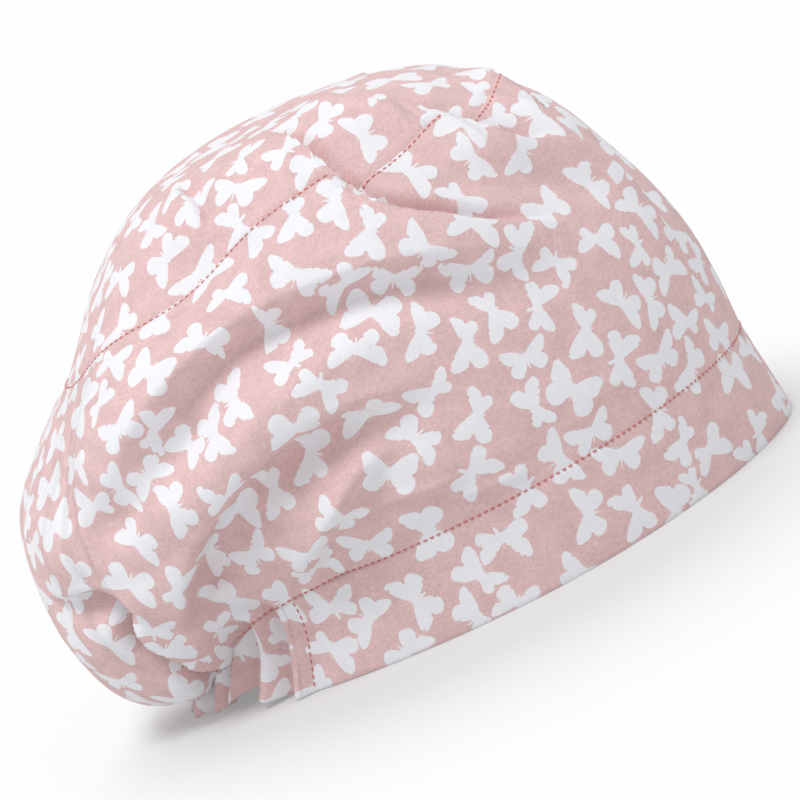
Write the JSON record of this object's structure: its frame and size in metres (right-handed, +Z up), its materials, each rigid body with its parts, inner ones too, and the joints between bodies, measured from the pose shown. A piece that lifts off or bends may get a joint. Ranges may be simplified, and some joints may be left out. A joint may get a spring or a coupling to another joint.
{
  "type": "scrub cap",
  "caption": "Cotton scrub cap with an oval crown panel, a deep side band, a turned hem and gathered elastic at the back, printed with small butterflies.",
  "frame": {"origin": "below the middle of the cap's outline, in the plane of the rim that it stands on", "axes": "+Z up out of the crown, -Y towards the wearer's front, -X towards the wearer's right"},
  "size_m": [0.1689, 0.2358, 0.1546],
  "materials": {
    "printed_cotton": "matte",
    "topstitching": "matte"
  },
  "bodies": {
    "root": {"crown_panel": "printed_cotton", "side_band": "printed_cotton", "front_hem": "printed_cotton", "elastic_casing": "printed_cotton"}
  },
  "joints": []
}
